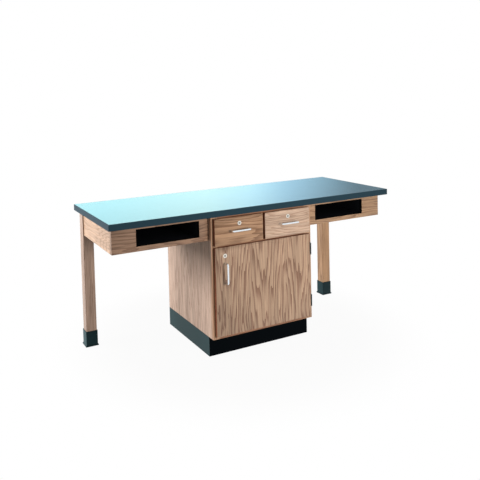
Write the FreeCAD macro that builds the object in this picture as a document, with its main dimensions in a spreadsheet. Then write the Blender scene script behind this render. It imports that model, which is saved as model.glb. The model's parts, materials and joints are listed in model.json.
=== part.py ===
import FreeCAD, Part
import Sketcher
import math
import os

# Laboratory workbench: a worktop on a middle cabinet, with a wing and a back leg at each end.
# Millimetres. X runs along the bench, -Y is the front, Z is up from the floor.
# The origin is on the floor, in the middle of the bench's outline.

os.makedirs("parts", exist_ok=True)
doc = FreeCAD.newDocument("laboratory_workbench")

SIZES = {
    # worktop
    "worktop_length": 1676.4,
    "worktop_depth": 609.6,
    "worktop_thickness": 31.75,
    "bench_height": 762.0,
    "laminate_thickness": 1.2,
    "worktop_band": 3.0,
    "worktop_corner_round": 3.0,
    "worktop_edge_round": 1.2,
    # cabinet case
    "cabinet_width": 609.6,
    "front_overhang": 27.0,
    "back_overhang": 25.4,
    "panel_thickness": 19.0,
    "back_panel_thickness": 6.0,
    "rabbet_width": 9.0,
    "top_rail_depth": 80.0,
    "deck_thickness": 12.0,
    "base_height": 101.6,
    "base_recess": 48.0,
    # face frame and what laps over it
    "frame_thickness": 19.0,
    "top_reveal": 12.0,
    "bottom_reveal": 17.5,
    "left_reveal": 12.0,
    "hinge_reveal": 19.5,
    "rail_overlay": 15.0,
    "side_overlay": 26.0,
    "mullion_width": 25.0,
    "bumper_gap": 1.0,
    # drawer fronts and door
    "front_thickness": 19.0,
    "front_band": 2.5,
    "front_gap": 9.0,
    "drawer_gap": 12.7,
    "drawer_front_height": 137.5,
    # drawer boxes and slides
    "box_board": 12.0,
    "box_height": 72.0,
    "box_depth": 474.0,
    "box_lift": 5.0,
    "box_bottom_thickness": 6.0,
    "box_bottom_lift": 8.0,
    "groove_depth": 6.0,
    "groove_play": 0.2,
    "slide_thickness": 12.7,
    "slide_height": 45.0,
    "slide_length": 450.0,
    "slide_inset": 2.0,
    "slide_wall": 1.5,
    "slide_play": 0.4,
    "spacer_height": 75.0,
    # pulls
    "pull_centres": 101.6,
    "pull_projection": 32.0,
    "pull_rod_radius": 4.75,
    "pull_bend_radius": 9.0,
    "drawer_pull_drop": 65.5,
    "door_pull_drop": 80.2,
    "door_pull_inset": 54.0,
    # cam locks
    "lock_flange_radius": 10.8,
    "lock_flange_thickness": 3.0,
    "lock_barrel_radius": 9.5,
    "lock_barrel_length": 34.0,
    "lock_nut_radius": 11.5,
    "lock_nut_thickness": 4.0,
    "lock_plug_radius": 7.0,
    "lock_play": 0.08,
    "lock_hole_play": 0.2,
    "lock_plug_recess": 0.6,
    "keyway_width": 1.8,
    "keyway_height": 8.0,
    "keyway_depth": 14.0,
    "cam_thickness": 2.0,
    "cam_width": 12.0,
    "cam_clearance": 0.8,
    "drawer_cam_reach": 24.0,
    "door_cam_reach": 38.0,
    "drawer_lock_drop": 33.0,
    "door_lock_drop": 43.0,
    # five-knuckle hinges
    "hinge_height": 63.5,
    "hinge_inset": 84.0,
    "hinge_leaf": 2.0,
    "hinge_barrel_radius": 4.5,
    "hinge_pin_radius": 2.0,
    "hinge_pin_play": 0.08,
    "hinge_play": 0.4,
    "hinge_foot_width": 12.0,
    "hinge_front_setback": 4.5,
    # shelf
    "shelf_height": 330.0,
    "shelf_thickness": 19.0,
    "shelf_end_play": 1.5,
    "shelf_depth": 500.0,
    "shelf_front_gap": 6.0,
    "pin_radius": 2.5,
    "pin_hole_depth": 10.0,
    "pin_hole_play": 0.1,
    "pin_hole_pitch": 32.0,
    "pin_setback": 60.0,
    "pin_pad": 12.0,
    "pin_pad_thickness": 2.0,
    # wings
    "wing_setback": 50.8,
    "wing_height": 125.0,
    "wing_board": 19.0,
    "opening_from_cabinet": 52.0,
    "opening_from_end": 122.0,
    "opening_height": 83.0,
    "opening_lift": 24.0,
    # book boxes
    "book_box_depth": 400.0,
    "book_box_wall": 1.5,
    "book_box_margin": 1.0,
    "book_box_flange": 15.0,
    # legs
    "leg_size": 57.15,
    "leg_end_setback": 20.5,
    "leg_back_setback": 33.5,
    "leg_edge_round": 2.0,
    "leg_stand_out": 6.0,
    # boots and glides
    "boot_height": 82.0,
    "boot_wall": 3.0,
    "boot_fit": 0.2,
    "boot_floor": 12.0,
    "boot_lip_height": 8.0,
    "boot_lip": 3.5,
    "boot_lip_bevel": 3.0,
    "boot_round": 2.0,
    "glide_foot_radius": 18.0,
    "glide_foot_height": 6.0,
    "glide_stem_radius": 4.0,
    "glide_stem_length": 50.0,
    "glide_play": 0.3,
    "glide_recess_play": 1.0,
    "glide_bore_spare": 4.0,
    # corner brackets and fasteners
    "bracket_thickness": 2.5,
    "bracket_height": 60.0,
    "bracket_run": 96.0,
    "bracket_flange": 30.0,
    "bracket_top_gap": 30.0,
    "bolt_radius": 4.0,
    "bolt_grip": 32.0,
    "bolt_tail": 12.0,
    "bolt_play": 0.3,
    "nut_radius": 8.0,
    "nut_thickness": 6.0,
    "nut_fit": 0.05,
    "screw_radius": 2.0,
    "screw_head_radius": 4.2,
    "screw_head_height": 2.5,
    "screw_bite": 16.0,
    # how far a cutting solid runs past the face that it cuts
    "overrun": 2.0,
}

# Where fasteners and pins stand, as shares of the piece that carries them
RAIL_SCREW_SHARES = (-0.38, -0.14, 0.14, 0.38)
FLANGE_SCREW_SHARES = (0.12, 0.88)
# Rows of pin holes below and above the shelf's own row
PIN_ROWS = (-2, -1, 0, 1, 2)
# A bend of 45 degrees moves the inner corner along by this share of the thickness
MITRE_SHARE = math.tan(math.pi / 8)
# How far a slanting length reaches along one axis at 45 degrees
DIAGONAL_SHARE = math.cos(math.pi / 4)
KNUCKLES = 5


class Length:
    """A size that carries its formula in the sheet's names along with its value."""

    def __init__(self, formula, value):
        self.formula = formula
        self.value = value

    def __add__(self, other):
        return Length(f"({self.formula} + {other.formula})", self.value + other.value)

    def __sub__(self, other):
        return Length(f"({self.formula} - {other.formula})", self.value - other.value)

    def __mul__(self, factor):
        return Length(f"({self.formula} * {factor!r})", self.value * factor)

    def __truediv__(self, factor):
        return Length(f"({self.formula} / {factor!r})", self.value / factor)

    def __neg__(self):
        return Length(f"(-{self.formula})", -self.value)

    __rmul__ = __mul__


sheet = doc.addObject("Spreadsheet::Sheet", "Sizes")
for row, (alias, number) in enumerate(SIZES.items(), start=1):
    sheet.set(f"A{row}", alias.replace("_", " "))
    sheet.set(f"B{row}", str(number))
    sheet.setAlias(f"B{row}", alias)
doc.recompute()


class Sheet:
    """The sheet's sizes as lengths: size.worktop_length and so on."""

    def __getattr__(self, alias):
        return Length(f"Sizes.{alias}", SIZES[alias])


size = Sheet()
ZERO = Length("0", 0)
nodes = {}


def bind(thing, prop, length):
    """Tie one property of an object to a formula of the sheet's sizes."""
    thing.setExpression(prop, length.formula)


def place(thing, at):
    """Put an object's own origin at a point that follows the sheet."""
    for axis, length in zip("xyz", at):
        if length is not ZERO:
            bind(thing, f"Placement.Base.{axis}", length)


def box(label, extent, at):
    """A board or block, by its three sizes and its lowest corner."""
    block = doc.addObject("Part::Box", label)
    for prop, length in zip(("Length", "Width", "Height"), extent):
        bind(block, prop, length)
    place(block, at)
    return block


TURNS = {
    "+Z": FreeCAD.Rotation(),
    "+Y": FreeCAD.Rotation(FreeCAD.Vector(1, 0, 0), -90),
    "+X": FreeCAD.Rotation(FreeCAD.Vector(0, 1, 0), 90),
}


def rod(label, radius, length, at, axis="+Z"):
    """A round bar that starts at a point and runs along an axis."""
    bar = doc.addObject("Part::Cylinder", label)
    bind(bar, "Radius", radius)
    bind(bar, "Height", length)
    bar.Placement = FreeCAD.Placement(FreeCAD.Vector(), TURNS[axis])
    place(bar, at)
    return bar


def cut(label, base, *tools):
    """One piece with other solids taken out of it."""
    result = doc.addObject("Part::Cut", label)
    result.Base = base
    result.Tool = tools[0] if len(tools) == 1 else group(label + "_tools", tools)
    return result


def fuse(label, *pieces):
    """Solids that are one piece on the real bench."""
    result = doc.addObject("Part::MultiFuse", label)
    result.Shapes = list(pieces)
    result.Refine = True
    return result


def group(label, pieces):
    """Separate solids that share one name."""
    result = doc.addObject("Part::Compound", label)
    result.Links = list(pieces)
    return result


def keep(node, thing):
    """Name a finished sub-part: its label is the name of its file."""
    thing.Label = node
    nodes[node] = thing
    return thing


def sketch_on(body, role, lift=None):
    """An empty sketch on one of a body's own origin planes."""
    drawing = body.newObject("Sketcher::SketchObject", body.Name + "_sketch")
    plane = [datum for datum in body.Origin.OriginFeatures if datum.Role == role][0]
    drawing.AttachmentSupport = (plane, [""])
    drawing.MapMode = "FlatFace"
    if lift is not None:
        bind(drawing, "AttachmentOffset.Base.z", lift)
    return drawing


def pin_point(drawing, line, end, axis, length):
    """Hold one coordinate of a line's end at a distance from the sketch's origin."""
    index = drawing.addConstraint(Sketcher.Constraint("Distance" + axis, line, end, length.value))
    bind(drawing, f"Constraints[{index}]", length)


def outline(drawing, points):
    """A closed outline of straight lines, each corner held by its two coordinates."""
    first = drawing.GeometryCount
    corners = [FreeCAD.Vector(x.value, y.value, 0) for x, y in points]
    count = len(corners)
    for index in range(count):
        edge = Part.LineSegment(corners[index], corners[(index + 1) % count])
        drawing.addGeometry(edge, False)
    for index in range(count):
        line = first + index
        after = first + (index + 1) % count
        drawing.addConstraint(Sketcher.Constraint("Coincident", line, 2, after, 1))
    for index, (x, y) in enumerate(points):
        pin_point(drawing, first + index, 1, "X", x)
        pin_point(drawing, first + index, 1, "Y", y)


def rectangle(drawing, low, extent):
    """A rectangle by its low corner and its two sizes."""
    x, y = low
    width, height = extent
    outline(drawing, [(x, y), (x + width, y), (x + width, y + height), (x, y + height)])


def circle(drawing, radius, x=ZERO, y=ZERO):
    """A circle by its radius and centre."""
    centre = FreeCAD.Vector(x.value, y.value, 0)
    ring = drawing.addGeometry(Part.Circle(centre, FreeCAD.Vector(0, 0, 1), radius.value), False)
    index = drawing.addConstraint(Sketcher.Constraint("Radius", ring, radius.value))
    bind(drawing, f"Constraints[{index}]", radius)
    pin_point(drawing, ring, 3, "X", x)
    pin_point(drawing, ring, 3, "Y", y)


def new_body(label, at):
    """A PartDesign body with its own origin at a point that follows the sheet."""
    body = doc.addObject("PartDesign::Body", label)
    place(body, at)
    return body


def pad(body, drawing, length, backwards=False):
    """Raise a sketch into a solid."""
    feature = body.newObject("PartDesign::Pad", body.Name + "_pad")
    feature.Profile = drawing
    bind(feature, "Length", length)
    feature.Reversed = backwards
    return feature


def pocket(body, drawing, length, backwards=False):
    """Take a sketch's shape out of a body."""
    feature = body.newObject("PartDesign::Pocket", body.Name + "_pocket")
    feature.Profile = drawing
    bind(feature, "Length", length)
    feature.Reversed = backwards
    return feature


def round_edges(body, base, radius, wanted, kind="PartDesign::Fillet"):
    """Round or bevel the edges of a feature that a test picks."""
    doc.recompute()
    names = []
    for index, edge in enumerate(base.Shape.Edges, start=1):
        if wanted(edge):
            names.append(f"Edge{index}")
    feature = body.newObject(kind, body.Name + "_round")
    feature.Base = (base, names)
    bind(feature, "Radius" if kind.endswith("Fillet") else "Size", radius)
    return feature


def is_upright(edge):
    """True for an edge that runs straight up."""
    low, high = edge.Vertexes[0].Point, edge.Vertexes[-1].Point
    return abs(high.z - low.z) > 0.5 * edge.Length


def is_at_height(height):
    """A test for edges that lie flat at one height."""
    def test(edge):
        return all(abs(corner.Z - height) < Part.Precision.confusion() for corner in edge.Vertexes)
    return test


def side_low(side, inner, width):
    """The lower X of a piece that starts at a distance from the middle, left or right."""
    return inner if side > 0 else -(inner + width)


SIDES = {"left": -1, "right": 1}

# Planes and lines that pieces share, worked out from the sizes
front_setback = size.front_overhang - size.bumper_gap - size.front_thickness
pull_overhang = size.pull_projection + size.pull_rod_radius - front_setback
edge_y = (pull_overhang - size.worktop_depth) / 2
front_y = edge_y + front_setback
front_back_y = front_y + size.front_thickness
frame_y = edge_y + size.front_overhang
frame_back_y = frame_y + size.frame_thickness
cabinet_back_y = edge_y + size.worktop_depth - size.back_overhang
back_panel_y = cabinet_back_y - size.back_panel_thickness
under_z = size.bench_height - size.worktop_thickness
half_length = size.worktop_length / 2
half_cabinet = size.cabinet_width / 2
case_half = half_cabinet - size.panel_thickness
case_depth = back_panel_y - frame_back_y

face_left = -half_cabinet + size.left_reveal
face_right = half_cabinet - size.hinge_reveal
face_middle = (face_left + face_right) / 2
stile_left_edge = face_left + size.side_overlay
stile_right_edge = face_right - size.side_overlay
drawer_front_width = (face_right - face_left - size.drawer_gap) / 2
drawer_top_z = under_z - size.top_reveal
drawer_bottom_z = drawer_top_z - size.drawer_front_height
door_top_z = drawer_bottom_z - size.front_gap
door_bottom_z = size.base_height + size.bottom_reveal
door_height = door_top_z - door_bottom_z
door_width = face_right - face_left
top_opening_z = drawer_top_z - size.rail_overlay
deck_z = drawer_bottom_z + size.rail_overlay
door_opening_top_z = door_top_z - size.rail_overlay
door_opening_bottom_z = door_bottom_z + size.rail_overlay
drawer_opening_width = (stile_right_edge - stile_left_edge - size.mullion_width) / 2


def build_worktop():
    """Core board, laminate face and the band that wraps all four edges."""
    inner_length = size.worktop_length - 2 * size.worktop_band
    inner_depth = size.worktop_depth - 2 * size.worktop_band
    corner = (-half_length + size.worktop_band, edge_y + size.worktop_band)
    core_thickness = size.worktop_thickness - size.laminate_thickness
    keep("worktop_core", box("worktop_core_board", (inner_length, inner_depth, core_thickness),
                             (*corner, under_z)))
    keep("worktop_laminate", box("worktop_laminate_sheet",
                                 (inner_length, inner_depth, size.laminate_thickness),
                                 (*corner, size.bench_height - size.laminate_thickness)))
    body = new_body("worktop_edge_band_body", (-half_length, edge_y, under_z))
    whole = sketch_on(body, "XY_Plane")
    rectangle(whole, (ZERO, ZERO), (size.worktop_length, size.worktop_depth))
    slab = pad(body, whole, size.worktop_thickness)
    rounded = round_edges(body, slab, size.worktop_corner_round, is_upright)
    top = is_at_height(size.worktop_thickness.value)
    bottom = is_at_height(0)
    eased = round_edges(body, rounded, size.worktop_edge_round,
                        lambda edge: top(edge) or bottom(edge))
    inside = sketch_on(body, "XY_Plane")
    rectangle(inside, (size.worktop_band, size.worktop_band), (inner_length, inner_depth))
    pocket(body, inside, size.worktop_thickness, backwards=True)
    keep("worktop_edge_band", body)


def build_cabinet_case():
    """Side panels, back, floor, top rails, drawer deck, partition and slide spacers."""
    side_height = under_z - size.base_height
    side_depth = cabinet_back_y - frame_back_y
    for name, side in SIDES.items():
        low = side_low(side, case_half, size.panel_thickness)
        panel = box(f"side_{name}_board", (size.panel_thickness, side_depth, side_height),
                    (low, frame_back_y, size.base_height))
        rabbet_low = side_low(side, case_half - size.overrun, size.rabbet_width + size.overrun)
        rabbet = box(f"side_{name}_rabbet",
                     (size.rabbet_width + size.overrun, size.back_panel_thickness + size.overrun,
                      side_height + 2 * size.overrun),
                     (rabbet_low, back_panel_y, size.base_height - size.overrun))
        hole_low = side_low(side, case_half - size.overrun, size.pin_hole_depth + size.overrun)
        holes = []
        for column, y in enumerate(pin_columns()):
            for row in PIN_ROWS:
                z = pin_z() + row * size.pin_hole_pitch
                holes.append(rod(f"pin_hole_{name}_{column}_{len(holes)}",
                                 size.pin_radius + size.pin_hole_play,
                                 size.pin_hole_depth + size.overrun, (hole_low, y, z), "+X"))
        keep(f"cabinet_side_{name}", cut(f"cabinet_side_{name}_cut", panel, rabbet, *holes))
    back_half = case_half + size.rabbet_width
    keep("cabinet_back_panel", box("back_board", (2 * back_half, size.back_panel_thickness, side_height),
                                   (-back_half, back_panel_y, size.base_height)))
    keep("cabinet_floor", box("floor_board", (2 * case_half, case_depth, size.panel_thickness),
                              (-case_half, frame_back_y, size.base_height)))
    rail_z = under_z - size.panel_thickness
    rails = []
    for name, y in (("front", frame_back_y), ("rear", back_panel_y - size.top_rail_depth)):
        rails.append(box(f"top_rail_{name}", (2 * case_half, size.top_rail_depth, size.panel_thickness),
                         (-case_half, y, rail_z)))
    keep("cabinet_top_rails", group("top_rails_pair", rails))
    keep("drawer_deck", box("deck_board", (2 * case_half, case_depth, size.deck_thickness),
                            (-case_half, frame_back_y, deck_z - size.deck_thickness)))
    keep("drawer_partition", box("partition_board", (size.mullion_width, case_depth, rail_z - deck_z),
                                 (face_middle - size.mullion_width / 2, frame_back_y, deck_z)))
    left_width = stile_left_edge + case_half
    right_width = case_half - stile_right_edge
    spacer_length = size.slide_length + 2 * size.slide_inset
    spacers = [
        box("spacer_left", (left_width, spacer_length, size.spacer_height),
            (-case_half, frame_back_y, deck_z)),
        box("spacer_right", (right_width, spacer_length, size.spacer_height),
            (stile_right_edge, frame_back_y, deck_z)),
    ]
    keep("slide_spacers", group("spacer_pair", spacers))


def build_face_frame():
    """Stiles and rails that the drawer fronts and the door lap over."""
    frame_height = under_z - size.base_height
    left_width = stile_left_edge + half_cabinet
    right_width = half_cabinet - stile_right_edge
    stiles = [
        box("stile_left", (left_width, size.frame_thickness, frame_height),
            (-half_cabinet, frame_y, size.base_height)),
        box("stile_right", (right_width, size.frame_thickness, frame_height),
            (stile_right_edge, frame_y, size.base_height)),
        box("stile_middle", (size.mullion_width, size.frame_thickness, top_opening_z - deck_z),
            (face_middle - size.mullion_width / 2, frame_y, deck_z)),
    ]
    keep("face_frame_stiles", group("stile_set", stiles))
    rails = []
    for name, low, high in (("top", top_opening_z, under_z), ("middle", door_opening_top_z, deck_z),
                            ("bottom", size.base_height, door_opening_bottom_z)):
        rails.append(box(f"rail_{name}", (stile_right_edge - stile_left_edge, size.frame_thickness,
                                          high - low), (stile_left_edge, frame_y, low)))
    keep("face_frame_rails", group("rail_set", rails))


def build_base():
    """Four boards that stand on the floor, set back at the front for the feet."""
    base_y = frame_y + size.base_recess
    board = size.panel_thickness
    boards = []
    for name, y in (("front", base_y), ("rear", cabinet_back_y - board)):
        boards.append(box(f"base_{name}", (size.cabinet_width, board, size.base_height),
                          (-half_cabinet, y, ZERO)))
    run = cabinet_back_y - base_y - 2 * board
    for name, side in SIDES.items():
        boards.append(box(f"base_{name}", (board, run, size.base_height),
                          (side_low(side, case_half, board), base_y + board, ZERO)))
    keep("toe_kick_boards", group("base_set", boards))


leg_outer = half_length - size.leg_end_setback
leg_inner = leg_outer - size.leg_size
leg_back_y = edge_y + size.worktop_depth - size.leg_back_setback
leg_y = leg_back_y - size.leg_size
wing_outer = leg_outer - size.leg_stand_out
wing_z = under_z - size.wing_height
wing_y = edge_y + size.wing_setback
wing_back_y = wing_y + size.wing_board
back_rail_y = leg_back_y - size.leg_stand_out - size.wing_board
wing_width = wing_outer - half_cabinet
opening_inner = half_cabinet + size.opening_from_cabinet
opening_width = wing_width - size.opening_from_cabinet - size.opening_from_end
opening_z = wing_z + size.opening_lift


def build_wings():
    """Front board with its opening, end panel and back rail on each side."""
    back_rails = []
    for name, side in SIDES.items():
        body = new_body(f"wing_front_{name}_body",
                        (side_low(side, half_cabinet, wing_width), wing_back_y, wing_z))
        face = sketch_on(body, "XZ_Plane")
        rectangle(face, (ZERO, ZERO), (wing_width, size.wing_height))
        near = size.opening_from_cabinet if side > 0 else size.opening_from_end
        rectangle(face, (near, size.opening_lift), (opening_width, size.opening_height))
        pad(body, face, size.wing_board)
        keep(f"wing_front_{name}", body)
        keep(f"wing_end_{name}", box(f"end_{name}_board",
                                     (size.wing_board, leg_y - wing_back_y, size.wing_height),
                                     (side_low(side, wing_outer - size.wing_board, size.wing_board),
                                      wing_back_y, wing_z)))
        back_rails.append(box(f"back_rail_{name}",
                              (leg_inner - half_cabinet, size.wing_board, size.wing_height),
                              (side_low(side, half_cabinet, leg_inner - half_cabinet),
                               back_rail_y, wing_z)))
    keep("wing_back_rails", group("back_rail_pair", back_rails))


book_wall_out = size.book_box_margin + size.book_box_wall
book_floor_z = opening_z - size.book_box_margin


def build_book_boxes():
    """Folded sheet trays behind the openings, hung from the worktop by their side flanges."""
    for name, side in SIDES.items():
        outer_width = opening_width + 2 * book_wall_out
        outer_low = side_low(side, opening_inner - book_wall_out, outer_width)
        bottom_z = book_floor_z - size.book_box_wall
        tray = box(f"tray_{name}", (outer_width, size.book_box_depth, under_z - bottom_z),
                   (outer_low, wing_back_y, bottom_z))
        inside = box(f"tray_{name}_inside",
                     (outer_width - 2 * size.book_box_wall,
                      size.book_box_depth - size.book_box_wall + size.overrun,
                      under_z - book_floor_z + size.overrun),
                     (outer_low + size.book_box_wall, wing_back_y - size.overrun, book_floor_z))
        shell = cut(f"tray_{name}_shell", tray, inside)
        flanges = []
        for end, low in (("low", outer_low - size.book_box_flange), ("high", outer_low + outer_width)):
            flanges.append(box(f"flange_{name}_{end}",
                               (size.book_box_flange, size.book_box_depth, size.book_box_wall),
                               (low, wing_back_y, under_z - size.book_box_wall)))
        keep(f"book_box_{name}", fuse(f"book_box_{name}_fused", shell, *flanges))


def build_legs():
    """Square oak legs with eased corners, bored from below for the glides."""
    middle = size.leg_size / 2
    for name, side in SIDES.items():
        body = new_body(f"leg_{name}_body",
                        (side_low(side, leg_inner, size.leg_size), leg_y, size.boot_floor))
        section = sketch_on(body, "XY_Plane")
        rectangle(section, (ZERO, ZERO), (size.leg_size, size.leg_size))
        post = pad(body, section, under_z - size.boot_floor)
        round_edges(body, post, size.leg_edge_round, is_upright)
        mouth = sketch_on(body, "XY_Plane")
        circle(mouth, size.glide_stem_radius + size.glide_play, middle, middle)
        bore_depth = (size.glide_foot_height + size.glide_stem_length + size.glide_bore_spare
                      - size.boot_floor)
        pocket(body, mouth, bore_depth, backwards=True)
        keep(f"leg_{name}", body)


def build_boots():
    """Moulded boots: a square cup with a wider lip at the floor and a recess for the glide."""
    outside = size.boot_fit + size.boot_wall
    body_width = size.leg_size + 2 * outside
    for name, side in SIDES.items():
        body = new_body(f"leg_boot_{name}_body",
                        (side_low(side, leg_inner, size.leg_size), leg_y, ZERO))
        foot = sketch_on(body, "XY_Plane")
        lip_out = outside + size.boot_lip
        lip_width = size.leg_size + 2 * lip_out
        rectangle(foot, (-lip_out, -lip_out), (lip_width, lip_width))
        lip = pad(body, foot, size.boot_lip_height)
        round_edges(body, lip, size.boot_lip_bevel, is_at_height(size.boot_lip_height.value),
                    "PartDesign::Chamfer")
        wall = sketch_on(body, "XY_Plane")
        rectangle(wall, (-outside, -outside), (body_width, body_width))
        cup = pad(body, wall, size.boot_height)
        round_edges(body, cup, size.boot_round, is_upright)
        cavity = sketch_on(body, "XY_Plane", size.boot_floor)
        inner_width = size.leg_size + 2 * size.boot_fit
        rectangle(cavity, (-size.boot_fit, -size.boot_fit), (inner_width, inner_width))
        pocket(body, cavity, size.boot_height, backwards=True)
        recess = sketch_on(body, "XY_Plane")
        middle = size.leg_size / 2
        circle(recess, size.glide_foot_radius + size.glide_recess_play, middle, middle)
        pocket(body, recess, size.glide_foot_height + size.glide_recess_play, backwards=True)
        hole = sketch_on(body, "XY_Plane")
        circle(hole, size.glide_stem_radius + size.glide_play, middle, middle)
        pocket(body, hole, size.boot_floor, backwards=True)
        keep(f"leg_boot_{name}", body)


def build_glides():
    """Levelling glides: a round foot on a threaded stem."""
    for name, side in SIDES.items():
        middle = size.leg_size / 2
        body = new_body(f"glide_{name}_body",
                        (side_low(side, leg_inner, size.leg_size) + middle, leg_y + middle, ZERO))
        profile = sketch_on(body, "XZ_Plane")
        top = size.glide_foot_height + size.glide_stem_length
        outline(profile, [(ZERO, ZERO), (size.glide_foot_radius, ZERO),
                          (size.glide_foot_radius, size.glide_foot_height),
                          (size.glide_stem_radius, size.glide_foot_height),
                          (size.glide_stem_radius, top), (ZERO, top)])
        turned = body.newObject("PartDesign::Revolution", f"glide_{name}_turned")
        turned.Profile = profile
        turned.ReferenceAxis = (profile, ["V_Axis"])
        turned.Angle = 360
        keep(f"glide_{name}", body)


def build_corner_brackets():
    """Folded plates across the leg corners, each drawn to its leg by a hanger bolt and nut."""
    brackets = []
    bolts = []
    run = size.bracket_run
    thick = size.bracket_thickness
    flange = size.bracket_flange
    mitre = thick * MITRE_SHARE
    panel_x = wing_outer - size.wing_board
    bracket_z = under_z - size.bracket_top_gap - size.bracket_height
    bolt_z = bracket_z + size.bracket_height / 2
    # along one axis: from the leg's corner to the plate's inner face, and into the leg
    corner_sum = 2 * (size.leg_size - size.leg_stand_out - size.wing_board)
    reach = (run + thick / DIAGONAL_SHARE - corner_sum) / 2
    bite = size.bolt_grip * DIAGONAL_SHARE
    bolt_length = size.bolt_grip + reach / DIAGONAL_SHARE + size.nut_thickness + size.bolt_tail
    for name, side in SIDES.items():
        body = new_body(f"bracket_{name}_body", (side * panel_x, back_rail_y, bracket_z))
        plan = sketch_on(body, "XY_Plane")
        points = [(ZERO, -run - flange), (ZERO, -run), (run, ZERO), (run + flange, ZERO),
                  (run + flange, -thick), (run + mitre, -thick), (thick, -run - mitre),
                  (thick, -run - flange)]
        outline(plan, [(-side * x, y) for x, y in points])
        pad(body, plan, size.bracket_height)
        start = (side * (leg_inner + bite), leg_y + bite, bolt_z)
        shapes = {}
        for kind, radius in (("bolt", size.bolt_radius), ("hole", size.bolt_radius + size.bolt_play),
                             ("nut_bore", size.bolt_radius + size.nut_fit)):
            shapes[kind] = rod(f"{kind}_{name}", radius, bolt_length, start)
        nut = doc.addObject("Part::Prism", f"nut_{name}_block")
        bind(nut, "Circumradius", size.nut_radius)
        bind(nut, "Height", size.nut_thickness)
        place(nut, (side * (leg_inner - reach), leg_y - reach, bolt_z))
        turn = FreeCAD.Rotation(FreeCAD.Vector(0, 0, 1), FreeCAD.Vector(-side, -1, 0))
        for thing in (*shapes.values(), nut):
            thing.Placement.Rotation = turn
        brackets.append(cut(f"bracket_{name}", body, shapes["hole"]))
        bolts.append(shapes["bolt"])
        bolts.append(cut(f"nut_{name}", nut, shapes["nut_bore"]))
    keep("corner_brackets", group("bracket_pair", brackets))
    keep("hanger_bolts", group("bolt_set", bolts))


def channel(label, width, height, length, at, opens):
    """A folded channel along Y: a web and two flanges, open towards +X or -X."""
    wall = size.slide_wall
    x, y, z = at
    block = box(label + "_block", (width, length, height), at)
    inner_x = x + wall if opens > 0 else x - size.overrun
    inner = box(label + "_inner",
                (width - wall + size.overrun, length + 2 * size.overrun, height - 2 * wall),
                (inner_x, y - size.overrun, z + wall))
    return cut(label, block, inner)


def build_drawer(name, opening_x, front_x):
    """A drawer: front, band, box, bottom, pull, lock and the members of its two slides."""
    node = f"drawer_{name}"
    build_front(node, front_x, drawer_bottom_z, drawer_front_width, size.drawer_front_height,
                front_x + drawer_front_width / 2, drawer_top_z - size.drawer_lock_drop)
    box_x = opening_x + size.slide_thickness
    box_width = drawer_opening_width - 2 * size.slide_thickness
    box_z = deck_z + size.box_lift
    board = size.box_board
    groove = size.groove_depth
    tray_z = box_z + size.box_bottom_lift
    slot = box(f"{node}_slot", (box_width - 2 * (board - groove), size.box_depth - 2 * (board - groove),
                                size.box_bottom_thickness + size.groove_play),
               (box_x + board - groove, front_back_y + board - groove, tray_z))
    boards = []
    for part, low in (("low", box_x), ("high", box_x + box_width - board)):
        boards.append(box(f"{node}_side_{part}", (board, size.box_depth, size.box_height),
                          (low, front_back_y, box_z)))
    for part, y in (("front", front_back_y), ("rear", front_back_y + size.box_depth - board)):
        boards.append(box(f"{node}_end_{part}", (box_width - 2 * board, board, size.box_height),
                          (box_x + board, y, box_z)))
    grooved = [cut(f"{plank.Name}_grooved", plank, slot) for plank in boards]
    keep(f"{node}_box", group(f"{node}_box_set", grooved))
    inset = board - groove + size.groove_play
    keep(f"{node}_bottom", box(f"{node}_bottom_board",
                               (box_width - 2 * inset, size.box_depth - 2 * inset,
                                size.box_bottom_thickness),
                               (box_x + inset, front_back_y + inset, tray_z)))
    # each slide: an outer channel on the case, a middle one, and an inner one on the drawer box
    thick = size.slide_thickness
    step = size.slide_wall + size.slide_play
    slide_y = frame_back_y + size.slide_inset
    slide_z = box_z + (size.box_height - size.slide_height) / 2
    outers = []
    middles = []
    inners = []
    for part, x, opens in (("low", opening_x, 1), ("high", box_x + box_width, -1)):
        outers.append(channel(f"{node}_outer_{part}", thick - size.slide_play, size.slide_height,
                              size.slide_length, (x if opens > 0 else x + size.slide_play, slide_y,
                                                  slide_z), opens))
        middles.append(channel(f"{node}_middle_{part}", thick - step - size.slide_play,
                               size.slide_height - 2 * step, size.slide_length,
                               (x + step if opens > 0 else x + size.slide_play, slide_y,
                                slide_z + step), opens))
        inners.append(channel(f"{node}_inner_{part}", thick - 2 * step, size.slide_height - 4 * step,
                              size.slide_length,
                              (x + 2 * step if opens > 0 else x, slide_y, slide_z + 2 * step), -opens))
    keep(f"{node}_slide_middles", group(f"{node}_middle_pair", middles))
    keep(f"{node}_slide_inners", group(f"{node}_inner_pair", inners))
    middle_x = front_x + drawer_front_width / 2 - size.pull_centres / 2
    build_pull(f"{node}_pull", (middle_x, front_y, drawer_top_z - size.drawer_pull_drop), "level")
    build_lock(node, front_x + drawer_front_width / 2, drawer_top_z - size.drawer_lock_drop,
               size.drawer_cam_reach, "level")
    return outers


def build_front(node, x, z, width, height, lock_x, lock_z):
    """A drawer front or door: a veneered panel, bored for its lock, inside its edge band."""
    band = size.front_band
    panel = box(f"{node}_panel_board", (width - 2 * band, size.front_thickness, height - 2 * band),
                (x + band, front_y, z + band))
    bore = rod(f"{node}_lock_bore", size.lock_barrel_radius + size.lock_hole_play,
               size.front_thickness + 2 * size.overrun, (lock_x, front_y - size.overrun, lock_z), "+Y")
    keep("door_panel" if node == "door" else f"{node}_front", cut(f"{node}_panel_bored", panel, bore))
    body = new_body(f"{node}_edge_band_body", (x, front_back_y, z))
    ring = sketch_on(body, "XZ_Plane")
    rectangle(ring, (ZERO, ZERO), (width, height))
    rectangle(ring, (band, band), (width - 2 * band, height - 2 * band))
    pad(body, ring, size.front_thickness)
    keep(f"{node}_edge_band", body)


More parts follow.
